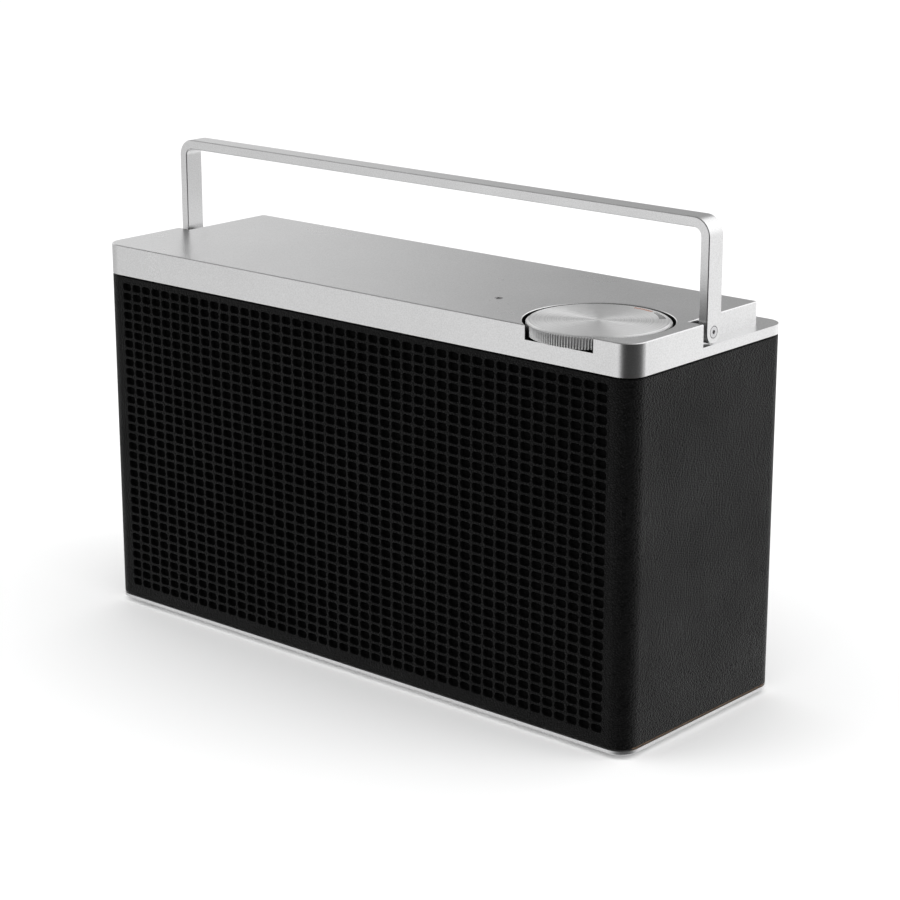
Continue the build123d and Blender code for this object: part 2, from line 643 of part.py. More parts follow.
with BuildPart() as main_board:
    with BuildSketch(over(0, BOARD_Y, BOARD_Z)):
        Rectangle(*MAIN_BOARD)
    extrude(amount=BOARD_T)
    with BuildSketch(over(0, BOARD_Y, ROOM_BOTTOM)):
        with GridLocations(*STANDOFFS, 2, 2):
            Circle(STANDOFF_R)
    extrude(amount=BOARD_Z - ROOM_BOTTOM)
    with BuildSketch(over(0, BOARD_Y, BOARD_Z + BOARD_T)):
        with Locations((48, 4)):
            Rectangle(AMPLIFIER_W, AMPLIFIER_W)
        with Locations((22, -6), (22, 8)):
            Rectangle(*CHIP_SIZE)
    extrude(amount=CHIP_H)
    with BuildSketch(over(0, BOARD_Y, BOARD_Z + BOARD_T)):
        with Locations((64, -12), (64, 0), (64, 12)):
            Circle(CAPACITOR_R)
    extrude(amount=CAPACITOR_H)
main_board.part.label = "main_board"
export_step(main_board.part, "parts/main_board.step")

TUNER_X = -40.0
TUNER_SIZE = (42.0, 28.0, 5.0)

with BuildPart() as tuner:
    with BuildSketch(over(TUNER_X, BOARD_Y, BOARD_Z + BOARD_T)):
        RectangleRounded(TUNER_SIZE[0], TUNER_SIZE[1], 1)
    extrude(amount=TUNER_SIZE[2])
tuner.part.label = "tuner_module"
export_step(tuner.part, "parts/tuner_module.step")

BATTERY_X = -34.0
BATTERY_Z = 90.0
CELL_R = 9.2
CELL_L = 66.0
BATTERY_Y = BACK_Y - SKIN - FACE_WALL - 2.2 - CELL_R

with BuildPart() as battery:
    with BuildSketch(Plane.YZ.offset(BATTERY_X - CELL_L / 2)):
        with Locations((BATTERY_Y, BATTERY_Z)):
            SlotOverall(6 * CELL_R, 2 * CELL_R, rotation=90)
    extrude(amount=CELL_L)
battery.part.label = "battery_pack"
export_step(battery.part, "parts/battery_pack.step")

TRAY_T = 1.6
with BuildPart() as tray:
    with BuildSketch(Plane((BATTERY_X, BATTERY_Y + CELL_R + 0.2, BATTERY_Z), (1, 0, 0), (0, 1, 0))):
        Rectangle(CELL_L + 2 * TRAY_T + 0.8, 6 * CELL_R + 2 * TRAY_T + 0.8)
    extrude(amount=TRAY_T)
    with BuildSketch(Plane((BATTERY_X, BATTERY_Y, BATTERY_Z), (1, 0, 0), (0, 1, 0))):
        Rectangle(CELL_L + 2 * TRAY_T + 0.8, 6 * CELL_R + 2 * TRAY_T + 0.8)
        Rectangle(CELL_L + 0.8, 6 * CELL_R + 0.8, mode=Mode.SUBTRACT)
    extrude(amount=CELL_R + 0.2)
tray.part.label = "battery_tray"
export_step(tray.part, "parts/battery_tray.step")

# ---- connector panel in the back ----------------------------------------------------------------
PANEL_OUTER = DEPTH - 0.3
SOCKET_HOLE_R = 4.2
SOCKET_DEPTH = 15.0
SOCKET_BODY = (11.0, 12.0)
SOCKET_BOARD = (34.0, 26.0)
SOCKET_WALL = 2.0        # left behind the blind bore
CONTACT_R = 1.0

with BuildPart() as panel:
    with BuildSketch(behind(PANEL_OUTER)):
        with Locations((0, PANEL_Z)):
            RectangleRounded(PANEL_W, PANEL_H, PANEL_R)
            with GridLocations(*PANEL_SCREWS, 2, 2):
                Circle(SCREW_R, mode=Mode.SUBTRACT)
        with Locations((JACK_X, SOCKET_Z), (INLET_X, SOCKET_Z)):
            Circle(SOCKET_HOLE_R, mode=Mode.SUBTRACT)
    extrude(amount=PANEL_OUTER - PANEL_INNER)
    chamfer(panel.faces().sort_by(Axis.Y)[-1].outer_wire().edges(), EDGE_BREAK)
panel.part.label = "rear_panel"
export_step(panel.part, "parts/rear_panel.step")

with BuildPart() as panel_screws:
    with BuildSketch(behind(PANEL_OUTER + 1.0)):
        with Locations((0, PANEL_Z)):
            with GridLocations(*PANEL_SCREWS, 2, 2):
                Circle(SCREW_HEAD_R - 0.3)
                RegularPolygon(1.1, 6, mode=Mode.SUBTRACT)
    extrude(amount=1.0)
    with BuildSketch(behind(PANEL_OUTER)):
        with Locations((0, PANEL_Z)):
            with GridLocations(*PANEL_SCREWS, 2, 2):
                Circle(SCREW_R - 0.3)
    extrude(amount=7)
panel_screws.part.label = "rear_panel_screws"
export_step(panel_screws.part, "parts/rear_panel_screws.step")


def socket_shell(bore_x, bore_r):
    """A round socket: a collar through the panel, a square body behind it and a blind bore."""
    with BuildPart() as shell:
        with BuildSketch(behind(PANEL_OUTER)):
            with Locations((bore_x, SOCKET_Z)):
                Circle(SOCKET_HOLE_R - 0.15)
        extrude(amount=PANEL_OUTER - PANEL_INNER + 0.2)
        with BuildSketch(behind(PANEL_INNER - 0.2)):
            with Locations((bore_x, SOCKET_Z)):
                Rectangle(*SOCKET_BODY)
        extrude(amount=SOCKET_DEPTH - 3)
        with BuildSketch(behind(PANEL_OUTER)):
            with Locations((bore_x, SOCKET_Z)):
                Circle(bore_r)
        extrude(amount=SOCKET_DEPTH - SOCKET_WALL, mode=Mode.SUBTRACT)
    return shell


jack = socket_shell(JACK_X, JACK_BORE_R)
jack.part.label = "aux_socket"
export_step(jack.part, "parts/aux_socket.step")

inlet = socket_shell(INLET_X, INLET_BORE_R)
inlet.part.label = "power_inlet"
export_step(inlet.part, "parts/power_inlet.step")

SOCKET_BACK = PANEL_INNER - 0.2 - (SOCKET_DEPTH - 3)
with BuildPart() as inlet_pin:
    with BuildSketch(behind(PANEL_OUTER - SOCKET_DEPTH + SOCKET_WALL)):
        with Locations((INLET_X, SOCKET_Z)):
            Circle(CONTACT_R)
    extrude(amount=-(SOCKET_DEPTH - 2 * SOCKET_WALL))
inlet_pin.part.label = "power_inlet_pin"
export_step(inlet_pin.part, "parts/power_inlet_pin.step")

with BuildPart() as socket_board:
    with BuildSketch(behind(SOCKET_BACK)):
        with Locations(((JACK_X + INLET_X) / 2, SOCKET_Z)):
            Rectangle(*SOCKET_BOARD)
    extrude(amount=BOARD_T)
socket_board.part.label = "socket_board"
export_step(socket_board.part, "parts/socket_board.step")

# ---- telescopic antenna -------------------------------------------------------------------------
# A fixed base on the back, a knuckle that swivels on it, an elbow, and four drawn sections.
BASE_T = 1.6
BASE_R = 7.0
KNUCKLE_OUT = BASE_T + 0.2
KNUCKLE_T = 1.1
NUT_ACROSS = 5.5
TIP_R = 2.9
TIP_L = 5.0
STUB_R = 2.0
KNUCKLE_R = 6.4
EAR_R = ANTENNA_REACH - ROD_OUT
EAR_IN = 3.25
EAR_OUT = 5.2
ELBOW_PIN_R = 1.2
EYE_L = 8.0
rear_face = Plane((ANTENNA_X, BACK_Y, ANTENNA_Z), (-1, 0, 0), (0, 1, 0))

with BuildPart() as antenna_base:
    with BuildSketch(rear_face):
        Circle(BASE_R)
    extrude(amount=BASE_T)
    with BuildSketch(rear_face.offset(BASE_T)):
        Circle(STUB_R)
    extrude(amount=0.9)
    with BuildSketch(rear_face):
        Circle(SPIGOT_R)
    extrude(amount=-(SKIN + FACE_WALL + 5))
antenna_base.part.label = "antenna_base"
export_step(antenna_base.part, "parts/antenna_base.step")

with BuildPart() as antenna_nut:
    with BuildSketch(rear_face.offset(-(SKIN + FACE_WALL))):
        RegularPolygon(NUT_ACROSS, 6)
        Circle(SPIGOT_R + SNUG, mode=Mode.SUBTRACT)
    extrude(amount=-3)
antenna_nut.part.label = "antenna_nut"
export_step(antenna_nut.part, "parts/antenna_nut.step")

with BuildPart() as knuckle:
    with BuildSketch(rear_face.offset(KNUCKLE_OUT)):
        Circle(KNUCKLE_R)
    extrude(amount=KNUCKLE_T)
    for low in (-EAR_OUT, EAR_IN):
        with BuildSketch(over(ANTENNA_X, ANTENNA_Y, ANTENNA_Z + low)):
            Circle(EAR_R)
            with Locations((0, (KNUCKLE_OUT - ROD_OUT) / 2)):
                Rectangle(2 * EAR_R, ROD_OUT - KNUCKLE_OUT)
        extrude(amount=EAR_OUT - EAR_IN)
    with BuildSketch(rear_face.offset(KNUCKLE_OUT)):
        Circle(STUB_R + RUNNING)
    extrude(amount=0.8, mode=Mode.SUBTRACT)
    with BuildSketch(over(ANTENNA_X, ANTENNA_Y, ANTENNA_Z - EAR_OUT)):
        Circle(ELBOW_PIN_R)
    extrude(amount=2 * EAR_OUT, mode=Mode.SUBTRACT)
knuckle.part.label = "antenna_knuckle"
export_step(knuckle.part, "parts/antenna_knuckle.step")

with BuildPart() as elbow_pin:
    with BuildSketch(over(ANTENNA_X, ANTENNA_Y, ANTENNA_Z - 4.2)):
        Circle(ELBOW_PIN_R)
    extrude(amount=8.4)
elbow_pin.part.label = "antenna_elbow_pin"
export_step(elbow_pin.part, "parts/antenna_elbow_pin.step")

along = Plane((ANTENNA_X, ANTENNA_Y, ANTENNA_Z), (0, 1, 0), (1, 0, 0))

with BuildPart() as section_1:
    with BuildSketch(over(ANTENNA_X, ANTENNA_Y, ANTENNA_Z - TUBE_RADII[0])):
        Circle(TUBE_RADII[0])
        with Locations((EYE_L / 2, 0)):
            Rectangle(EYE_L, 2 * TUBE_RADII[0])
    extrude(amount=2 * TUBE_RADII[0])
    with BuildSketch(along.offset(EYE_L)):
        Circle(TUBE_RADII[0])
    extrude(amount=TUBE_ENDS[0] - EYE_L)
    with BuildSketch(along.offset(EYE_L + 4)):
        Circle(TUBE_RADII[1] + RUNNING)
    extrude(amount=TUBE_ENDS[0] - EYE_L - 4, mode=Mode.SUBTRACT)
    with BuildSketch(over(ANTENNA_X, ANTENNA_Y, ANTENNA_Z - TUBE_RADII[0])):
        Circle(ELBOW_PIN_R + RUNNING)
    extrude(amount=2 * TUBE_RADII[0], mode=Mode.SUBTRACT)
section_1.part.label = "antenna_section_1"
export_step(section_1.part, "parts/antenna_section_1.step")

for number in (2, 3, 4):
    start = EYE_L + 2 * number + 2
    with BuildPart() as section:
        with BuildSketch(along.offset(start)):
            Circle(TUBE_RADII[number - 1])
            if number < 4:
                Circle(TUBE_RADII[number] + RUNNING, mode=Mode.SUBTRACT)
        extrude(amount=TUBE_ENDS[number - 1] - start)
    section.part.label = f"antenna_section_{number}"
    export_step(section.part, f"parts/antenna_section_{number}.step")

with BuildPart() as antenna_tip:
    with BuildSketch(along.offset(TUBE_ENDS[3])):
        Circle(TIP_R)
    extrude(amount=TIP_L)
    fillet(antenna_tip.edges(), 0.8)
antenna_tip.part.label = "antenna_tip"
export_step(antenna_tip.part, "parts/antenna_tip.step")
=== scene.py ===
import math

import bmesh
import bpy
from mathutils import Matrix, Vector
from mathutils.geometry import delaunay_2d_cdt


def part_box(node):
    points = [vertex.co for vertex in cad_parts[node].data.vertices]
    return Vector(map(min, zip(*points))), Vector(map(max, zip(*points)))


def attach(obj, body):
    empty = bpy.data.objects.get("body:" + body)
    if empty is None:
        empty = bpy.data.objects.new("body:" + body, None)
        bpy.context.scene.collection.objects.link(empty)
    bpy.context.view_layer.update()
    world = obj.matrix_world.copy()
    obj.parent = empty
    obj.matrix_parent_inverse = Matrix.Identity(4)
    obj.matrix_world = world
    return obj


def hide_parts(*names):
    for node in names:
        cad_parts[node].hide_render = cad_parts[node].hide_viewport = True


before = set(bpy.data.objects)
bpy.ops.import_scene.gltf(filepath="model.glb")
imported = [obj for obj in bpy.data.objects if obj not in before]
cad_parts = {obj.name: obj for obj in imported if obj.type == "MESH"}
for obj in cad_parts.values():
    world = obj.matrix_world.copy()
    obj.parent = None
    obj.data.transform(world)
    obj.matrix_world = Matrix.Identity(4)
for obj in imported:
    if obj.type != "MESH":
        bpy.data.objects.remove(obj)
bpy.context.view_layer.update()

# ---- the studio ---------------------------------------------------------------------------------
# A pale sweep of floor in an even white room. What the metal mirrors is a ring of soft screens:
# grey to the left, a dark gap before the near corner, and a bright one to the right.
world = bpy.data.worlds.new("white_room")
bpy.context.scene.world = world
world.use_nodes = True
bpy.context.scene.view_settings.view_transform = "Standard"
room = world.node_tree
room.nodes.clear()


def room_node(kind, **settings):
    """A node of the room's light, with its settings."""
    node = room.nodes.new(kind)
    for key, value in settings.items():
        setattr(node, key, value)
    return node


looking = room_node("ShaderNodeTexCoord").outputs["Generated"]
apart = room_node("ShaderNodeSeparateXYZ")
room.links.new(looking, apart.inputs[0])
bearing = room_node("ShaderNodeMath", operation="ARCTAN2")
room.links.new(apart.outputs["Y"], bearing.inputs[0])
room.links.new(apart.outputs["X"], bearing.inputs[1])
turn_share = room_node("ShaderNodeMapRange")
turn_share.inputs["From Min"].default_value = -math.pi
turn_share.inputs["From Max"].default_value = math.pi
room.links.new(bearing.outputs[0], turn_share.inputs["Value"])


def screens(stops):
    """A ring of soft screens: (bearing in degrees, anticlockwise from +X, and brightness)."""
    ring = room_node("ShaderNodeValToRGB")
    ring.color_ramp.interpolation = "EASE"
    ring.color_ramp.elements.remove(ring.color_ramp.elements[1])
    for number, (degrees, grey) in enumerate(stops):
        share = (degrees + 180) / 360
        stop = ring.color_ramp.elements[0] if number == 0 else ring.color_ramp.elements.new(share)
        stop.position = share
        stop.color = (grey, grey, grey, 1)
    room.links.new(turn_share.outputs["Result"], ring.inputs["Fac"])
    return ring.outputs["Color"]


low_ring = screens([
    (-180, 0.60), (-147, 0.66), (-137, 0.80), (-123, 1.0), (-106, 1.0), (-88, 0.10), (-75, 0.01),
    (-5, 0.01), (15, 0.04), (36, 0.24), (50, 1.18), (78, 1.25), (120, 0.9), (180, 0.60)])
high_ring = screens([
    (-180, 0.70), (-160, 0.10), (-110, 0.15), (-45, 0.15), (20, 0.6), (60, 1.5), (95, 1.3),
    (112, 0.42), (126, 0.34), (137, 0.76), (151, 1.0), (170, 1.1), (180, 0.70)])
LOW_RING_ENDS, HIGH_RING_STARTS = -0.05, 0.13      # heights on a sphere of radius 1
climb = room_node("ShaderNodeMapRange", interpolation_type="SMOOTHSTEP")
climb.inputs["From Min"].default_value = LOW_RING_ENDS
climb.inputs["From Max"].default_value = HIGH_RING_STARTS
room.links.new(apart.outputs["Z"], climb.inputs["Value"])
mirrored = room_node("ShaderNodeMix", data_type="RGBA")
room.links.new(climb.outputs["Result"], mirrored.inputs["Factor"])
room.links.new(low_ring, mirrored.inputs["A"])
room.links.new(high_ring, mirrored.inputs["B"])
screens_glow = room_node("ShaderNodeBackground")
room.links.new(mirrored.outputs["Result"], screens_glow.inputs["Color"])
white_glow = room_node("ShaderNodeBackground")
white_glow.inputs["Color"].default_value = (1, 1, 1, 1)
WALLS = 1.08
white_glow.inputs["Strength"].default_value = WALLS
which = room_node("ShaderNodeLightPath")
both = room_node("ShaderNodeMixShader")
room.links.new(which.outputs["Is Glossy Ray"], both.inputs["Fac"])
room.links.new(white_glow.outputs[0], both.inputs[1])
room.links.new(screens_glow.outputs[0], both.inputs[2])
room_out = room_node("ShaderNodeOutputWorld")
room.links.new(both.outputs[0], room_out.inputs["Surface"])

FLOOR = 9.0
floor_mesh = bpy.data.meshes.new("floor")
floor_corners = [(-FLOOR, -FLOOR, 0), (FLOOR, -FLOOR, 0), (FLOOR, FLOOR, 0), (-FLOOR, FLOOR, 0)]
floor_mesh.from_pydata(floor_corners, [], [(0, 1, 2, 3)])
floor = bpy.data.objects.new("floor", floor_mesh)
bpy.context.scene.collection.objects.link(floor)
floor_paint = bpy.data.materials.new("floor_paint")
floor_paint.use_nodes = True
floor_shader = floor_paint.node_tree.nodes["Principled BSDF"]
floor_shader.inputs["Base Color"].default_value = (0.96, 0.96, 0.96, 1)
floor_shader.inputs["Roughness"].default_value = 0.9
floor_shader.inputs["Specular IOR Level"].default_value = 0.0
floor_mesh.materials.append(floor_paint)
floor.visible_glossy = False

MID_HEIGHT = 0.1


def soft_lamp(name, place, size, power):
    """A square soft box at place, turned to the radio."""
    lamp = bpy.data.lights.new(name, "AREA")
    lamp.shape = "SQUARE"
    lamp.size = size
    lamp.energy = power
    stand = bpy.data.objects.new(name, lamp)
    bpy.context.scene.collection.objects.link(stand)
    stand.location = place
    aim = Vector((0, 0, MID_HEIGHT)) - Vector(place)
    stand.rotation_euler = aim.to_track_quat("-Z", "Y").to_euler()
    stand.visible_camera = False
    stand.visible_glossy = False


soft_lamp("lamp_left", place=(-1.3, -1.5, 1.6), size=1.4, power=9)
soft_lamp("lamp_right", place=(1.6, 0.6, 1.4), size=1.4, power=9)

camera = bpy.data.objects.new("camera", bpy.data.cameras.new("camera"))
bpy.context.scene.collection.objects.link(camera)
bpy.context.scene.camera = camera
camera.location = (0.6634, -0.7555, 0.3788)
CAMERA_YAW = 40.89
CAMERA_DIP = 16.28
camera.rotation_euler = (math.radians(90 - CAMERA_DIP), 0, math.radians(CAMERA_YAW))
camera.data.lens = 99.2
camera.data.clip_start = 0.05

# ---- base plate ---------------------------------------------------------------------------------
# A thin aluminium sheet with rounded corners, bead-blasted and clear anodised, held up against
# the cabinet by the screws through the feet.
MM = 0.001


def blank_finish(name, colour, roughness, metallic=0.0, specular=0.5):
    """A finish to build on: its material, node tree, shader and row-frame coordinates."""
    material = bpy.data.materials.new(name)
    material.use_nodes = True
    tree = material.node_tree
    shader = tree.nodes["Principled BSDF"]
    shader.inputs["Base Color"].default_value = (*colour, 1)
    shader.inputs["Roughness"].default_value = roughness
    shader.inputs["Metallic"].default_value = metallic
    shader.inputs["Specular IOR Level"].default_value = specular
    place = tree.nodes.new("ShaderNodeTexCoord").outputs["Object"]
    return material, tree, shader, place


def noise(tree, place, per_metre, detail=2.0, stretch=None):
    """Cloudy values at a given fineness, drawn out along an axis if stretch is given."""
    if stretch:
        mapping = tree.nodes.new("ShaderNodeMapping")
        mapping.inputs["Scale"].default_value = stretch
        tree.links.new(place, mapping.inputs["Vector"])
        place = mapping.outputs["Vector"]
    cloud = tree.nodes.new("ShaderNodeTexNoise")
    cloud.inputs["Scale"].default_value = per_metre
    cloud.inputs["Detail"].default_value = detail
    tree.links.new(place, cloud.inputs["Vector"])
    return cloud.outputs["Fac"]


def spread(tree, value, low=0.0, high=1.0, from_low=0.3, from_high=0.7):
    """The value stretched from its usual range to low..high."""
    span = tree.nodes.new("ShaderNodeMapRange")
    span.inputs["From Min"].default_value = from_low
    span.inputs["From Max"].default_value = from_high
    span.inputs["To Min"].default_value = low
    span.inputs["To Max"].default_value = high
    tree.links.new(value, span.inputs["Value"])
    return span.outputs["Result"]


def tint(tree, shader, value, dark, light):
    """Colours the shader from dark to light by the value."""
    ramp = tree.nodes.new("ShaderNodeMix")
    ramp.data_type = "RGBA"
    ramp.inputs["A"].default_value = (*dark, 1)
    ramp.inputs["B"].default_value = (*light, 1)
    tree.links.new(value, ramp.inputs["Factor"])
    tree.links.new(ramp.outputs["Result"], shader.inputs["Base Color"])


def relief(tree, shader, value, depth, strength=1.0, under=None):
    """Presses the value into the surface as relief of that depth."""
    bump = tree.nodes.new("ShaderNodeBump")
    bump.inputs["Distance"].default_value = depth
    bump.inputs["Strength"].default_value = strength
    tree.links.new(value, bump.inputs["Height"])
    if under:
        tree.links.new(under, bump.inputs["Normal"])
    tree.links.new(bump.outputs["Normal"], shader.inputs["Normal"])
    return bump.outputs["Normal"]


def satin_aluminium(name, tone, roughness):
    """Bead-blasted anodised aluminium: an even sparkle of tiny dents under a soft sheen."""
    material, tree, shader, place = blank_finish(name, (tone, tone, tone), roughness, metallic=1.0)
    beads = noise(tree, place, per_metre=2100, detail=4)
    cloud = noise(tree, place, per_metre=22, detail=3)
    tint(tree, shader, spread(tree, beads),
         dark=(tone * 0.88,) * 3, light=(tone * 1.08, tone * 1.08, tone * 1.085))
    sheen = spread(tree, cloud, low=roughness - 0.03, high=roughness + 0.04)
    tree.links.new(sheen, shader.inputs["Roughness"])
    relief(tree, shader, beads, depth=0.04 * MM, strength=0.5)
    return material


def dress(node, material):
    """Gives a CAD node its finish."""
    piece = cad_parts[node]
    piece.data.materials.clear()
    piece.data.materials.append(material)
    return piece


satin = satin_aluminium("satin_aluminium", tone=0.82, roughness=0.5)
dress("base_plate", satin)

# ---- feet and screws ----------------------------------------------------------------------------
# Four discs of moulded rubber under the base, each held by a screw that also draws the base
# plate up. All the screws are blackened steel: base, cap, drivers and rear panel.
rubber, tree, shader, place = blank_finish(
    "foot_rubber", (0.02, 0.02, 0.02), roughness=0.75, specular=0.3)
dust = noise(tree, place, per_metre=900, detail=4)
tint(tree, shader, spread(tree, dust), dark=(0.014, 0.014, 0.014), light=(0.035, 0.034, 0.033))
relief(tree, shader, dust, depth=0.1 * MM, strength=0.4)
dress("rubber_feet", rubber)

blackened, tree, shader, place = blank_finish(
    "blackened_steel", (0.1, 0.1, 0.105), roughness=0.4, metallic=1.0)
turned = noise(tree, place, per_metre=700, detail=3)
tree.links.new(spread(tree, turned, low=0.3, high=0.55), shader.inputs["Roughness"])
relief(tree, shader, turned, depth=0.05 * MM, strength=0.3)
for node in ("base_screws", "cap_screws", "driver_screws", "rear_panel_screws"):
    dress(node, blackened)

# ---- cabinet and baffle -------------------------------------------------------------------------
# The box that carries everything, and the board inside it that the drivers sit on. Both are
# fibreboard, routed and glued, then stained black-brown so that no light edge shows in a gap.
board, tree, shader, place = blank_finish(
    "stained_fibreboard", (0.02, 0.017, 0.014), roughness=0.8, specular=0.2)
fibres = noise(tree, place, per_metre=1600, detail=5, stretch=(0.3, 0.3, 1.0))
tint(tree, shader, spread(tree, fibres), dark=(0.012, 0.010, 0.009), light=(0.035, 0.028, 0.022))
relief(tree, shader, fibres, depth=0.1 * MM, strength=0.5)
dress("cabinet", board)
dress("speaker_baffle", board)

# ---- drivers ------------------------------------------------------------------------------------
# Two small full-range drivers, screwed to the baffle. Each is a pressed and painted steel
# basket, a cone of black paper pulp, and a ferrite ring magnet glued to the back.
basket_coat, tree, shader, place = blank_finish("basket_coat", (0.03, 0.03, 0.03), roughness=0.5)
peel = noise(tree, place, per_metre=1100, detail=2)
relief(tree, shader, peel, depth=0.06 * MM, strength=0.4)
tint(tree, shader, spread(tree, peel), dark=(0.02, 0.02, 0.02), light=(0.045, 0.045, 0.045))
paper, tree, shader, place = blank_finish(
    "cone_paper", (0.04, 0.038, 0.036), roughness=0.85, specular=0.2)
pulp = noise(tree, place, per_metre=1300, detail=6)
tint(tree, shader, spread(tree, pulp), dark=(0.02, 0.019, 0.018), light=(0.06, 0.057, 0.052))
relief(tree, shader, pulp, depth=0.15 * MM, strength=0.6)
ferrite, tree, shader, place = blank_finish("ferrite", (0.06, 0.06, 0.062), roughness=0.6)
grain = noise(tree, place, per_metre=2200, detail=4)
tint(tree, shader, spread(tree, grain), dark=(0.04, 0.04, 0.042), light=(0.09, 0.09, 0.092))
relief(tree, shader, grain, depth=0.08 * MM, strength=0.4)
for side in ("left", "right"):
    dress(f"{side}_driver_basket", basket_coat)
    dress(f"{side}_driver_cone", paper)
    dress(f"{side}_driver_magnet", ferrite)

# ---- cloth behind the perforations --------------------------------------------------------------
# A thin black acoustic cloth stretched over the front of the cabinet, so that only darkness
# shows through the holes in the leather.
cloth_low, cloth_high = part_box("acoustic_cloth")
CLOTH_ACROSS, CLOTH_UP = 48, 24
GIVE = 0.15 * MM
CLOTH_MIDDLE = 0.2 * MM


def stretched_cloth():
    """A fine sheet, pinned at its edges, that gives a little between them."""
    form = bmesh.new()
    rows = []
    for up in range(CLOTH_UP + 1):
        row = []
        for across in range(CLOTH_ACROSS + 1):
            u, v = across / CLOTH_ACROSS, up / CLOTH_UP
            give = GIVE * math.sin(math.pi * u) * math.sin(math.pi * v)
            x = cloth_low.x + u * (cloth_high.x - cloth_low.x)
            z = cloth_low.z + v * (cloth_high.z - cloth_low.z)
            row.append(form.verts.new((x, cloth_low.y + CLOTH_MIDDLE + give, z)))
        rows.append(row)
    for up in range(CLOTH_UP):
        for across in range(CLOTH_ACROSS):
            lower, upper = rows[up], rows[up + 1]
            form.faces.new((lower[across], lower[across + 1], upper[across + 1], upper[across]))
    mesh = bpy.data.meshes.new("acoustic_cloth_weave")
    form.to_mesh(mesh)
    form.free()
    mesh.shade_smooth()
    return mesh


def add_piece(name, mesh, material, body, slot, *stands_for):
    """Puts a finished mesh into the object, on its body, in place of the CAD nodes named."""
    piece = bpy.data.objects.new(name, mesh)
    bpy.context.scene.collection.objects.link(piece)
    piece.data.materials.append(material)
    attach(piece, body)
    if stands_for:
        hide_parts(*stands_for)
    return piece


weave, tree, shader, place = blank_finish(
    "black_weave", (0.004, 0.004, 0.004), roughness=0.95, specular=0.08)
threads = []
for direction in ("X", "Z"):
    wave = tree.nodes.new("ShaderNodeTexWave")
    wave.bands_direction = direction
    wave.inputs["Scale"].default_value = 420
    wave.inputs["Distortion"].default_value = 0.6
    tree.links.new(place, wave.inputs["Vector"])
    threads.append(wave.outputs["Fac"])
crossing = tree.nodes.new("ShaderNodeMath")
crossing.operation = "MULTIPLY"
tree.links.new(threads[0], crossing.inputs[0])
tree.links.new(threads[1], crossing.inputs[1])
tint(tree, shader, crossing.outputs[0], dark=(0.0015, 0.0015, 0.0015), light=(0.007, 0.007, 0.0072))
relief(tree, shader, crossing.outputs[0], depth=0.1 * MM, strength=0.6)
cloth = add_piece("acoustic_cloth_weave", stretched_cloth(), weave,
                  "radio", "acoustic_cloth", "acoustic_cloth")

# ---- leather wrap -------------------------------------------------------------------------------
# One strip of fine-grained black hide, glued round the cabinet. Its front is punched all over
# with rows of rounded slots, and the back is cut out for the connector panel and the antenna.
hide_low, hide_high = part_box("leather_wrap")
HIDE_T = 1.6 * MM
CORNER = 8.0 * MM
CORNER_STEPS = 10
HOLES_ACROSS, HOLES_UP = 44, 33
PITCH_X, PITCH_Z = 6.018 * MM, 4.21 * MM
HOLE_W, HOLE_H, HOLE_R = 4.9 * MM, 3.15 * MM, 1.15 * MM
HOLE_STEPS = 4
RIM, RIM_DEPTH = 0.12 * MM, 0.14 * MM
FIELD_Z = 78.3 * MM
EDGE_ROUND, EDGE_MIDWAY = 0.35 * MM, 0.1 * MM
EDGE_ROWS = 3                    # rows of faces in the turned-in edge, below and above
PANEL_SLACK = 0.3 * MM
PANEL_CORNER, PANEL_CORNER_STEPS = 6.3 * MM, 6
SPIGOT_R, SPIGOT_STEPS = 3.3 * MM, 24
INSIDE_ONLY, MERGE = 1, 1e-7     # for the fill: keep the inside, join points this close
SIDEWAYS = 0.9                   # outward normals beyond this in x are on the radio's sides
HIDE, INKED, RAW = range(3)      # the finishes: grain side, inked cuts, bare cut edge
panel_low, panel_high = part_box("rear_panel")
antenna_low, antenna_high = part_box("antenna_base")


def rounded_outline(middle_u, middle_v, width, height, radius, steps):
    """Points round a rounded rectangle, from its lower left corner, anticlockwise, with the
    points of each corner together."""
    corners = []
    for number, (side_u, side_v) in enumerate(((-1, -1), (1, -1), (1, 1), (-1, 1))):
        centre_u = middle_u + side_u * (width / 2 - radius)
        centre_v = middle_v + side_v * (height / 2 - radius)
        start = math.pi + number * math.pi / 2
        corners.append([
            (centre_u + radius * math.cos(start + math.pi / 2 * step / steps),
             centre_v + radius * math.sin(start + math.pi / 2 * step / steps))
            for step in range(steps + 1)
        ])
    return corners


def sleeve_stations():
    """Points and outward normals round the sleeve, from the front's left end, and where the
    front field's first line and the back's first and last lines are."""
    left, right = hide_low.x + CORNER, hide_high.x - CORNER
    field_left = -PITCH_X * HOLES_ACROSS / 2
    stations = [(left, hide_low.y, 0, -1)]
    first_field = len(stations)
    stations += [(field_left + PITCH_X * n, hide_low.y, 0, -1) for n in range(HOLES_ACROSS + 1)]
    stations += [(right, hide_low.y, 0, -1)]

    def turn(centre_x, centre_y, start, skip_last=False):
        for step in range(1, CORNER_STEPS + (0 if skip_last else 1)):
            angle = start + math.pi / 2 * step / CORNER_STEPS
            nx, ny = math.cos(angle), math.sin(angle)
            stations.append((centre_x + CORNER * nx, centre_y + CORNER * ny, nx, ny))

    turn(right, hide_low.y + CORNER, -math.pi / 2)
    stations.append((hide_high.x, hide_high.y - CORNER, 1, 0))
    turn(right, hide_high.y - CORNER, 0)
    back_first = len(stations) - 1
    for share in (0.25, 0.5, 0.75):
        stations.append((right + share * (left - right), hide_high.y, 0, 1))
    stations.append((left, hide_high.y, 0, 1))
    back_last = len(stations) - 1
    turn(left, hide_high.y - CORNER, math.pi / 2)
    stations.append((hide_low.x, hide_low.y + CORNER, -1, 0))
    turn(left, hide_low.y + CORNER, math.pi, skip_last=True)
    return stations, first_field, back_first, back_last


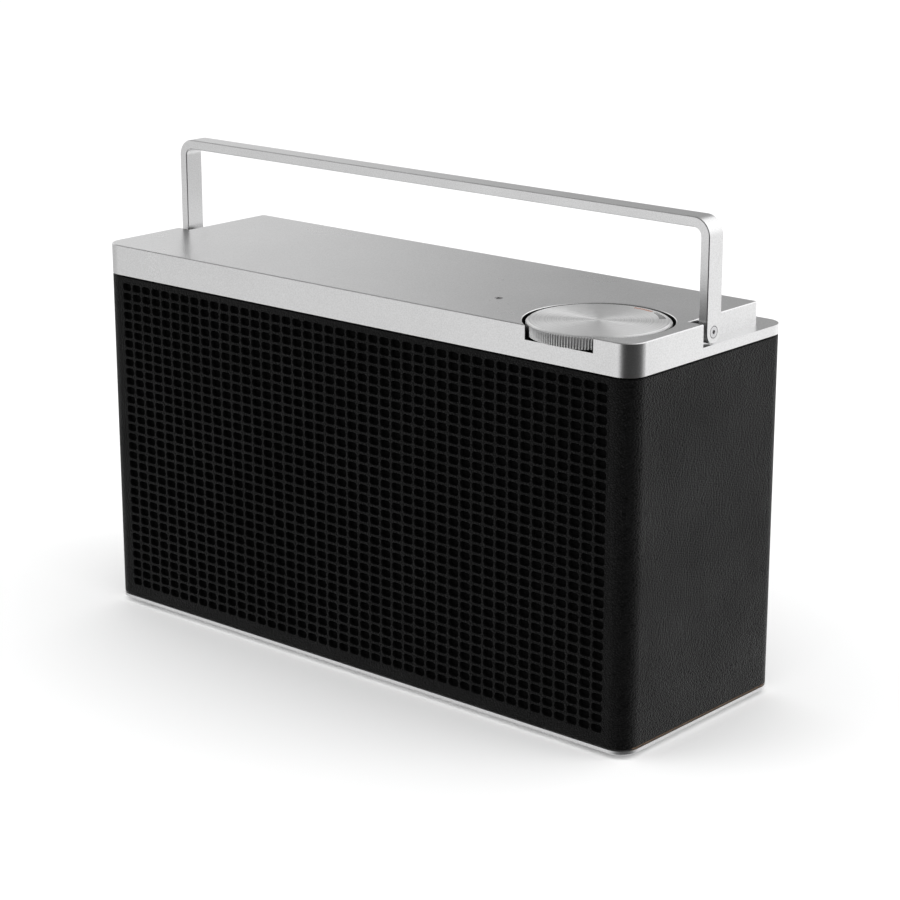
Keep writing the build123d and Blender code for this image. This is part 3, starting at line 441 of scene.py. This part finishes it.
def sleeve_rows():
    """(inset, height) of each line up the sleeve, and where the field's first line is."""
    low, high = hide_low.z, hide_high.z
    rows = [(HIDE_T, low), (EDGE_ROUND, low),
            (EDGE_MIDWAY, low + EDGE_MIDWAY), (0, low + EDGE_ROUND)]
    field = len(rows)
    field_low = FIELD_Z - PITCH_Z * HOLES_UP / 2
    rows += [(0, field_low + PITCH_Z * n) for n in range(HOLES_UP + 1)]
    rows += [(0, high - EDGE_ROUND), (EDGE_MIDWAY, high - EDGE_MIDWAY),
             (EDGE_ROUND, high), (HIDE_T, high)]
    return rows, field


def punched_cell(form, cell, centre_x, centre_z):
    """The leather round one slot: its face, the softened rim and the wall of the cut."""
    rings = []
    for grow, depth in ((RIM, 0), (0, RIM_DEPTH), (0, HIDE_T)):
        corners = rounded_outline(
            centre_x, centre_z, HOLE_W + 2 * grow, HOLE_H + 2 * grow, HOLE_R + grow, HOLE_STEPS)
        level = hide_low.y + depth
        rings.append([[form.verts.new((u, level, v)) for u, v in corner] for corner in corners])
    for number in range(4):
        arc = rings[0][number]
        after = rings[0][(number + 1) % 4]
        for step in range(HOLE_STEPS):
            form.faces.new((cell[number], arc[step + 1], arc[step]))
        form.faces.new((cell[number], cell[(number + 1) % 4], after[0], arc[-1]))
    flat_rings = [[v for corner in ring for v in corner] for ring in rings]
    count = len(flat_rings[0])
    for outer, inner in zip(flat_rings, flat_rings[1:]):
        for step in range(count):
            after = (step + 1) % count
            wall = form.faces.new((outer[step], outer[after], inner[after], inner[step]))
            wall.smooth = True
            wall.material_index = INKED if inner is flat_rings[2] else HIDE


def cut_out_back(form, border, cuts):
    """Fills the back between its border and the openings, and turns the leather in round them."""
    points = [Vector((v.co.x, v.co.z)) for v in border]
    edges = [(n, (n + 1) % len(border)) for n in range(len(border))]
    verts = list(border)
    loops = []
    for outline in cuts:
        start = len(verts)
        loop = [form.verts.new((u, hide_high.y, v)) for u, v in outline]
        verts += loop
        points += [Vector(p) for p in outline]
        edges += [(start + n, start + (n + 1) % len(loop)) for n in range(len(loop))]
        loops.append(loop)
    made, _, faces, _, _, _ = delaunay_2d_cdt(points, edges, [], INSIDE_ONLY, MERGE)
    assert len(made) == len(points)

    def in_cut(u, v):
        for outline in cuts:
            crossings = 0
            for (u0, v0), (u1, v1) in zip(outline, outline[1:] + outline[:1]):
                if (v0 > v) != (v1 > v) and u < u0 + (v - v0) * (u1 - u0) / (v1 - v0):
                    crossings += 1
            if crossings % 2:
                return True
        return False

    for face in faces:
        middle = sum((points[n] for n in face), Vector((0, 0))) / len(face)
        if not in_cut(*middle):
            form.faces.new([verts[n] for n in reversed(face)])
    for loop in loops:
        inner = [form.verts.new(v.co - Vector((0, HIDE_T, 0))) for v in loop]
        for n in range(len(loop)):
            after = (n + 1) % len(loop)
            form.faces.new((loop[n], loop[after], inner[after], inner[n])).smooth = True


def leather_sleeve():
    """The whole wrap as one surface, with its edges turned in."""
    stations, first_field, back_first, back_last = sleeve_stations()
    rows, field = sleeve_rows()
    form = bmesh.new()
    grid = [
        [form.verts.new((x - nx * inset, y - ny * inset, z)) for inset, z in rows]
        for x, y, nx, ny in stations
    ]
    top_flat = len(rows) - 1 - EDGE_ROWS
    for i in range(len(stations)):
        after = (i + 1) % len(stations)
        on_back = back_first <= i < back_last
        rounded = stations[i][2:] != stations[after][2:]
        for j in range(len(rows) - 1):
            cell = (grid[i][j], grid[after][j], grid[after][j + 1], grid[i][j + 1])
            punched = 0 <= i - first_field < HOLES_ACROSS and 0 <= j - field < HOLES_UP
            if punched:
                middle = (cell[0].co + cell[2].co) / 2
                punched_cell(form, cell, middle.x, middle.z)
            elif not (on_back and EDGE_ROWS <= j < top_flat):
                patch = form.faces.new(cell)
                patch.smooth = rounded or j < EDGE_ROWS or j >= top_flat
                if j < EDGE_ROWS and abs(stations[i][2]) > SIDEWAYS:
                    patch.material_index = RAW
    border = [grid[i][EDGE_ROWS] for i in range(back_first, back_last + 1)]
    border += [grid[back_last][j] for j in range(EDGE_ROWS + 1, top_flat + 1)]
    border += [grid[i][top_flat] for i in range(back_last - 1, back_first - 1, -1)]
    border += [grid[back_first][j] for j in range(top_flat - 1, EDGE_ROWS, -1)]
    window = rounded_outline(
        0, (panel_low.z + panel_high.z) / 2, panel_high.x - panel_low.x + 2 * PANEL_SLACK,
        panel_high.z - panel_low.z + 2 * PANEL_SLACK, PANEL_CORNER, PANEL_CORNER_STEPS)
    spigot_x = (antenna_low.x + antenna_high.x) / 2
    spigot_z = (antenna_low.z + antenna_high.z) / 2
    spigot = []
    for n in range(SPIGOT_STEPS):
        angle = math.tau * n / SPIGOT_STEPS
        spigot.append((spigot_x + SPIGOT_R * math.cos(angle), spigot_z + SPIGOT_R * math.sin(angle)))
    cut_out_back(form, border, [[p for corner in window for p in corner], spigot])
    mesh = bpy.data.meshes.new("leather_cover")
    form.to_mesh(mesh)
    form.free()
    return mesh


GRAIN_PULL = (0.8, 0.8, 1.35)    # the hide is pulled round the box, which draws its grain out
GRAIN_SWAY = 0.5 * MM
CREASE_W = 0.28


def grained_leather(name):
    """Black full-grain hide: pebbles parted by fine creases, pores, and a waxed sheen. Its colour
    is darker in the creases: painted shade.
    """
    material, tree, shader, place = blank_finish(
        name, (0.003, 0.003, 0.003), roughness=0.42, specular=0.14)
    wander = tree.nodes.new("ShaderNodeTexNoise")
    wander.inputs["Scale"].default_value = 260
    tree.links.new(place, wander.inputs["Vector"])
    sway = tree.nodes.new("ShaderNodeVectorMath")
    sway.operation = "MULTIPLY_ADD"
    sway.inputs[1].default_value = (GRAIN_SWAY,) * 3
    tree.links.new(wander.outputs["Color"], sway.inputs[0])
    pulled = tree.nodes.new("ShaderNodeMapping")
    pulled.inputs["Scale"].default_value = GRAIN_PULL
    tree.links.new(place, pulled.inputs["Vector"])
    tree.links.new(pulled.outputs["Vector"], sway.inputs[2])
    creases = tree.nodes.new("ShaderNodeTexVoronoi")
    creases.feature = "DISTANCE_TO_EDGE"
    creases.inputs["Scale"].default_value = 900
    tree.links.new(sway.outputs[0], creases.inputs["Vector"])
    pebbles_and_crease_shade = spread(tree, creases.outputs["Distance"], from_low=0.0, from_high=CREASE_W)
    pores = noise(tree, place, per_metre=3800, detail=3)
    patches = noise(tree, place, per_metre=30, detail=3)
    # painted shade: the colour darkens into the creases between the pebbles
    tint(tree, shader, pebbles_and_crease_shade, dark=(0.0012, 0.0012, 0.0012), light=(0.0042, 0.0042, 0.0044))
    tree.links.new(spread(tree, patches, low=0.36, high=0.48), shader.inputs["Roughness"])
    first = relief(tree, shader, pores, depth=0.06 * MM, strength=0.35)
    relief(tree, shader, pebbles_and_crease_shade, depth=0.32 * MM, strength=0.9, under=first)
    return material


leather = add_piece("leather_cover", leather_sleeve(), grained_leather("black_leather"),
                    "radio", "black_leather", "leather_wrap")
inked, tree, shader, place = blank_finish(
    "inked_edge", (0.002, 0.002, 0.002), roughness=0.8, specular=0.1)
fibre = noise(tree, place, per_metre=2600, detail=4)
tint(tree, shader, spread(tree, fibre), dark=(0.001, 0.001, 0.001), light=(0.004, 0.004, 0.004))
relief(tree, shader, fibre, depth=0.1 * MM, strength=0.6)
bare, tree, shader, place = blank_finish(
    "bare_edge", (0.32, 0.19, 0.10), roughness=0.85, specular=0.2)
fibre = noise(tree, place, per_metre=2600, detail=4)
tint(tree, shader, spread(tree, fibre), dark=(0.16, 0.09, 0.05), light=(0.42, 0.27, 0.16))
relief(tree, shader, fibre, depth=0.1 * MM, strength=0.6)
leather.data.materials.append(inked)
leather.data.materials.append(bare)

# ---- boards, battery and its tray ---------------------------------------------------------------
# Green solder-masked glass-fibre boards, with a tinned steel can over the tuner. The lithium
# cells are wrapped in blue shrink sleeve and lie in a moulded black tray in the cabinet.
mask, tree, shader, place = blank_finish("solder_mask", (0.01, 0.09, 0.04), roughness=0.35)
tracks = noise(tree, place, per_metre=500, detail=2, stretch=(1, 0.15, 1))
tint(tree, shader, spread(tree, tracks), dark=(0.008, 0.07, 0.03), light=(0.02, 0.14, 0.06))
relief(tree, shader, tracks, depth=0.03 * MM, strength=0.4)
for node in ("main_board", "control_board", "socket_board"):
    dress(node, mask)
tinned, tree, shader, place = blank_finish(
    "tinned_can", (0.6, 0.6, 0.58), roughness=0.3, metallic=1.0)
crystals = noise(tree, place, per_metre=300, detail=4)
tree.links.new(spread(tree, crystals, low=0.2, high=0.45), shader.inputs["Roughness"])
dress("tuner_module", tinned)
sleeve_film, tree, shader, place = blank_finish("shrink_sleeve", (0.02, 0.06, 0.2), roughness=0.3)
wrinkle = noise(tree, place, per_metre=160, detail=3, stretch=(0.3, 1, 1))
relief(tree, shader, wrinkle, depth=0.2 * MM, strength=0.4)
tint(tree, shader, spread(tree, wrinkle), dark=(0.015, 0.05, 0.17), light=(0.03, 0.08, 0.24))
dress("battery_pack", sleeve_film)


def moulded_plastic(name, tone, per_metre=2400):
    """Black moulding with a fine spark-eroded texture."""
    material, tree, shader, place = blank_finish(
        name, (tone, tone, tone), roughness=0.55, specular=0.4)
    spark = noise(tree, place, per_metre, detail=3)
    tint(tree, shader, spread(tree, spark), dark=(tone * 0.8,) * 3, light=(tone * 1.3,) * 3)
    tree.links.new(spread(tree, spark, low=0.48, high=0.66), shader.inputs["Roughness"])
    relief(tree, shader, spark, depth=0.06 * MM, strength=0.5)
    return material


panel_plastic = moulded_plastic("panel_plastic", 0.022)
dress("battery_tray", panel_plastic)

# ---- connector panel ----------------------------------------------------------------------------
# A black moulded panel, held in the back by four screws. It carries an audio socket and a
# power inlet, whose centre pin is plated brass.
dress("rear_panel", panel_plastic)
socket_plastic = moulded_plastic("socket_plastic", 0.03, 3200)
dress("aux_socket", socket_plastic)
dress("power_inlet", socket_plastic)
contact, tree, shader, place = blank_finish(
    "plated_contact", (0.8, 0.62, 0.3), roughness=0.25, metallic=1.0)
rubbed = noise(tree, place, per_metre=1500, detail=3)
tree.links.new(spread(tree, rubbed, low=0.15, high=0.4), shader.inputs["Roughness"])
dress("power_inlet_pin", contact)

# ---- telescopic antenna -------------------------------------------------------------------------
# Four tubes of chromed brass that draw out of each other, with a turned tip. A hinged knuckle
# carries them, and swivels on a base clamped through the back with a nut.
chrome, tree, shader, place = blank_finish(
    "bright_chrome", (0.78, 0.78, 0.8), roughness=0.12, metallic=1.0)
drawn = noise(tree, place, per_metre=900, detail=3, stretch=(0.04, 1, 1))
tree.links.new(spread(tree, drawn, low=0.08, high=0.2), shader.inputs["Roughness"])
relief(tree, shader, drawn, depth=0.01 * MM, strength=0.3)
for node in ("antenna_base", "antenna_knuckle", "antenna_section_1", "antenna_section_2",
             "antenna_section_3", "antenna_section_4", "antenna_tip"):
    dress(node, chrome)

# ---- encoder, shaft and small steel parts -------------------------------------------------------
# The encoder under the dial, with its push sleeve, nut and shaft, and the pins of the hinges.
# All are turned and plated steel, apart from the spacers beside the handle, which are plastic.
turned_steel, tree, shader, place = blank_finish(
    "turned_steel", (0.62, 0.62, 0.63), roughness=0.28, metallic=1.0)
rings = noise(tree, place, per_metre=1800, detail=2)
tree.links.new(spread(tree, rings, low=0.22, high=0.4), shader.inputs["Roughness"])
relief(tree, shader, rings, depth=0.02 * MM, strength=0.3)
for node in ("dial_shaft", "dial_push_sleeve", "encoder_nut", "antenna_nut", "antenna_elbow_pin",
             "handle_pivot_pins"):
    dress(node, turned_steel)
dress("rotary_encoder", turned_steel)
spacer_plastic = moulded_plastic("spacer_plastic", 0.02, 3000)
dress("handle_spacers", spacer_plastic)

# ---- aluminium cap ------------------------------------------------------------------------------
# Cast in aluminium and milled all over: rebated for the handle, recessed for the dial and
# dimpled for the small light, then bead-blasted and anodised. The dial's well has painted shade.
cap_finish = satin_aluminium("cap_aluminium", tone=0.76, roughness=0.29)
tree = cap_finish.node_tree
cap_shader = tree.nodes["Principled BSDF"]
dial_low, dial_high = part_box("dial")
DIAL_X, DIAL_Y = (dial_low.x + dial_high.x) / 2, (dial_low.y + dial_high.y) / 2
DIAL_R = (dial_high.x - dial_low.x) / 2
WELL_R = DIAL_R + 1.5 * MM
LIP = 0.25 * MM                  # the well's painted shade starts this far under the cap's top
WELL_DROP = 0.72 * MM            # its floor is just less than this under the dial
# painted shade: the dark colour given to the well's walls round the dial
WELL_PAINTED_SHADE = (0.035, 0.035, 0.035, 1)
cap_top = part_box("top_cap")[1].z
apart = tree.nodes.new("ShaderNodeSeparateXYZ")
tree.links.new(tree.nodes.new("ShaderNodeTexCoord").outputs["Object"], apart.inputs[0])


def work_out(operation, first, second):
    """One step of arithmetic on sockets or numbers in the cap's finish."""
    step = tree.nodes.new("ShaderNodeMath")
    step.operation = operation
    for socket, value in zip(step.inputs, (first, second)):
        if isinstance(value, (int, float)):
            socket.default_value = value
        else:
            tree.links.new(value, socket)
    return step.outputs[0]


off_x = work_out("SUBTRACT", apart.outputs["X"], DIAL_X)
off_y = work_out("SUBTRACT", apart.outputs["Y"], DIAL_Y)
squares = work_out("ADD", work_out("MULTIPLY", off_x, off_x), work_out("MULTIPLY", off_y, off_y))
off_axis = work_out("SQRT", squares, 0)
near_axis = work_out("LESS_THAN", off_axis, WELL_R)
under_lip = work_out("LESS_THAN", apart.outputs["Z"], cap_top - LIP)
over_floor = work_out("GREATER_THAN", apart.outputs["Z"], dial_low.z - WELL_DROP)
# The well's walls, from under the lip down to its floor, are coloured dark: painted shade of the gap
# round the dial.
well_shade_mask = work_out("MULTIPLY", near_axis, work_out("MULTIPLY", under_lip, over_floor))
painted_well_shade = tree.nodes.new("ShaderNodeMix")
painted_well_shade.data_type = "RGBA"
painted_well_shade.inputs["B"].default_value = WELL_PAINTED_SHADE
tree.links.new(well_shade_mask, painted_well_shade.inputs["Factor"])
tree.links.new(cap_shader.inputs["Base Color"].links[0].from_socket, painted_well_shade.inputs["A"])
tree.links.new(painted_well_shade.outputs["Result"], cap_shader.inputs["Base Color"])
dress("top_cap", cap_finish)

lens, tree, shader, place = blank_finish(
    "smoked_lens", (0.008, 0.008, 0.008), roughness=0.4, specular=0.2)
haze = noise(tree, place, per_metre=1500, detail=3)
tree.links.new(spread(tree, haze, low=0.3, high=0.5), shader.inputs["Roughness"])
tint(tree, shader, haze, dark=(0.005, 0.005, 0.005), light=(0.014, 0.014, 0.014))
dress("status_light_lens", lens)

# ---- dial ---------------------------------------------------------------------------------------
# Turned from solid aluminium, with a knurled rim under a plain chamfered band. The face is
# brushed on the lathe, and a scale of dashes is printed near its edge.
RIBS = 150
STEPS_PER_RIB = 8
RIB_DEPTH = 0.5 * MM
BAND = 0.6 * MM
CHAMFER = 0.5 * MM
EDGE_W, EDGE_DROP = 0.12 * MM, 0.03 * MM           # the broken edge of the face
BAND_LEAN, BAND_FOOT = 0.06 * MM, 0.05 * MM
RIB_SHOULDER, RIB_RUNOUT = 0.1 * MM, 0.3 * MM
LAND_SHARE = 0.5                                   # below 1: wide ribs, narrow grooves
POCKET_R, HUB_R, BORE_R = 24.3 * MM, 5.5 * MM, 3.02 * MM
POCKET_DEPTH, HUB_UP, BORE_ROOF = 3.3 * MM, 1.8 * MM, 1.3 * MM


def turned_dial():
    """The dial as a lathe profile, its rim waved into ribs."""
    top, bottom = dial_high.z, dial_low.z
    plain = DIAL_R - RIB_DEPTH
    roof, hub_end = bottom + POCKET_DEPTH, bottom + HUB_UP
    # each point is a radius, a height, and how far the ribs stand out there
    profile = [
        (plain - CHAMFER - EDGE_W, top, 0), (plain - CHAMFER, top - EDGE_DROP, 0),
        (plain - BAND_LEAN, top - CHAMFER, 0), (plain, top - CHAMFER - BAND_FOOT, 0.1),
        (plain, top - BAND - RIB_SHOULDER, 0.8), (plain, top - BAND - RIB_RUNOUT, 1),
        (plain, bottom + RIB_RUNOUT, 1), (plain, bottom, 0.1),
        (POCKET_R, bottom, 0), (POCKET_R, roof, 0), (HUB_R, roof, 0),
        (HUB_R, hub_end, 0), (BORE_R, hub_end, 0), (BORE_R, top - BORE_ROOF, 0),
    ]
    around = RIBS * STEPS_PER_RIB
    form = bmesh.new()
    rings_made = []
    for radius, height, ribbed in profile:
        ring = []
        for step in range(around):
            angle = math.tau * step / around
            wave = 0.5 + 0.5 * math.cos(RIBS * angle)
            reach = radius + RIB_DEPTH * ribbed * wave ** LAND_SHARE
            x, y = DIAL_X + reach * math.cos(angle), DIAL_Y + reach * math.sin(angle)
            ring.append(form.verts.new((x, y, height)))
        rings_made.append(ring)
    crown = form.verts.new((DIAL_X, DIAL_Y, top))
    for step in range(around):
        form.faces.new((crown, rings_made[0][step], rings_made[0][(step + 1) % around]))
    for upper, lower in zip(rings_made, rings_made[1:]):
        for step in range(around):
            after = (step + 1) % around
            form.faces.new((upper[step], lower[step], lower[after], upper[after])).smooth = True
    form.faces.new(rings_made[-1])
    mesh = bpy.data.meshes.new("dial_wheel")
    form.to_mesh(mesh)
    form.free()
    return mesh


def spun_aluminium(name):
    """Aluminium brushed on the lathe: fine rings round the axis that fan the light."""
    tone = 0.93
    material, tree, shader, place = blank_finish(
        name, (tone, tone, tone), roughness=0.4, metallic=1.0)
    centred = tree.nodes.new("ShaderNodeVectorMath")
    centred.operation = "SUBTRACT"
    centred.inputs[1].default_value = (DIAL_X, DIAL_Y, dial_high.z)
    tree.links.new(place, centred.inputs[0])
    reach = tree.nodes.new("ShaderNodeVectorMath")
    reach.operation = "LENGTH"
    tree.links.new(centred.outputs[0], reach.inputs[0])
    fine = tree.nodes.new("ShaderNodeTexNoise")
    fine.noise_dimensions = "1D"
    fine.inputs["Scale"].default_value = 2700
    fine.inputs["Detail"].default_value = 3
    tree.links.new(reach.outputs["Value"], fine.inputs["W"])
    tint(tree, shader, spread(tree, fine.outputs["Fac"]),
         dark=(tone * 0.80,) * 3, light=(tone * 1.07,) * 3)
    tree.links.new(spread(tree, fine.outputs["Fac"], low=0.42, high=0.50), shader.inputs["Roughness"])
    relief(tree, shader, fine.outputs["Fac"], depth=0.01 * MM, strength=0.15)
    shader.inputs["Anisotropic"].default_value = 0.9
    shader.inputs["Anisotropic Rotation"].default_value = 0.25
    around = tree.nodes.new("ShaderNodeTangent")
    around.direction_type = "RADIAL"
    around.axis = "Z"
    tree.links.new(around.outputs["Tangent"], shader.inputs["Tangent"])
    return material


add_piece("dial_wheel", turned_dial(), spun_aluminium("spun_aluminium"),
          "dial_wheel", "spun_aluminium", "dial")

# The printed scale: a run of orange dashes, then black ones that grow, near the rim.
INK_SUNK, INK_PROUD = 0.01 * MM, 0.02 * MM
ink, tree, shader, place = blank_finish("orange_ink", (0.62, 0.2, 0.08), roughness=0.5)
print_grain = noise(tree, place, per_metre=5000, detail=2)
tint(tree, shader, spread(tree, print_grain), dark=(0.34, 0.10, 0.04), light=(0.52, 0.18, 0.08))
black_ink, tree, shader, place = blank_finish("black_ink", (0.02, 0.02, 0.02), roughness=0.5)
print_grain = noise(tree, place, per_metre=5000, detail=2)
tint(tree, shader, spread(tree, print_grain), dark=(0.015, 0.015, 0.015), light=(0.05, 0.05, 0.05))


def printed_dashes(name, marks, material):
    """Dashes of ink on the dial's face: (angle in degrees, angular width, inner and outer radius)."""
    form = bmesh.new()
    low, high = dial_high.z - INK_SUNK, dial_high.z + INK_PROUD
    for angle, width, inner, outer in marks:
        corners = [(inner, -width), (outer, -width), (outer, width), (inner, width)]
        ring = []
        for radius, turn in corners:
            a = math.radians(angle + turn / 2)
            ring.append((DIAL_X + radius * math.cos(a), DIAL_Y + radius * math.sin(a)))
        foot = [form.verts.new((x, y, low)) for x, y in ring]
        head = [form.verts.new((x, y, high)) for x, y in ring]
        form.faces.new(head)
        form.faces.new(list(reversed(foot)))
        for n in range(4):
            after = (n + 1) % 4
            form.faces.new((foot[n], foot[after], head[after], head[n]))
    mesh = bpy.data.meshes.new(name)
    form.to_mesh(mesh)
    form.free()
    return add_piece(name, mesh, material, "dial_wheel", "spun_aluminium")


ORANGE_DASHES, ORANGE_FROM, ORANGE_STEP, ORANGE_WIDTH = 9, 93, 2.4, 1.4
BLACK_DASHES, BLACK_FROM, BLACK_STEP, BLACK_WIDTH = 6, 66, 4.4, 2.2
SCALE_INNER, ORANGE_OUTER, BLACK_OUTER, BLACK_GROWS = 24.0 * MM, 25.4 * MM, 25.5 * MM, 0.25 * MM
orange_scale = [
    (ORANGE_FROM - ORANGE_STEP * n, ORANGE_WIDTH, SCALE_INNER, ORANGE_OUTER)
    for n in range(ORANGE_DASHES)
]
black_scale = [
    (BLACK_FROM - BLACK_STEP * n, BLACK_WIDTH, SCALE_INNER - BLACK_GROWS * n, BLACK_OUTER)
    for n in range(BLACK_DASHES)
]
printed_dashes("dial_orange_marks", orange_scale, ink)
printed_dashes("dial_black_marks", black_scale, black_ink)

# ---- handle -------------------------------------------------------------------------------------
# Flat aluminium bar, bent to a U with tight corners and finished like the cap. It turns on two
# steel pins let in flush, and folds back into the rebate of the cap.
handle_finish = satin_aluminium("handle_aluminium", tone=0.75, roughness=0.31)
dress("handle_bar", handle_finish)
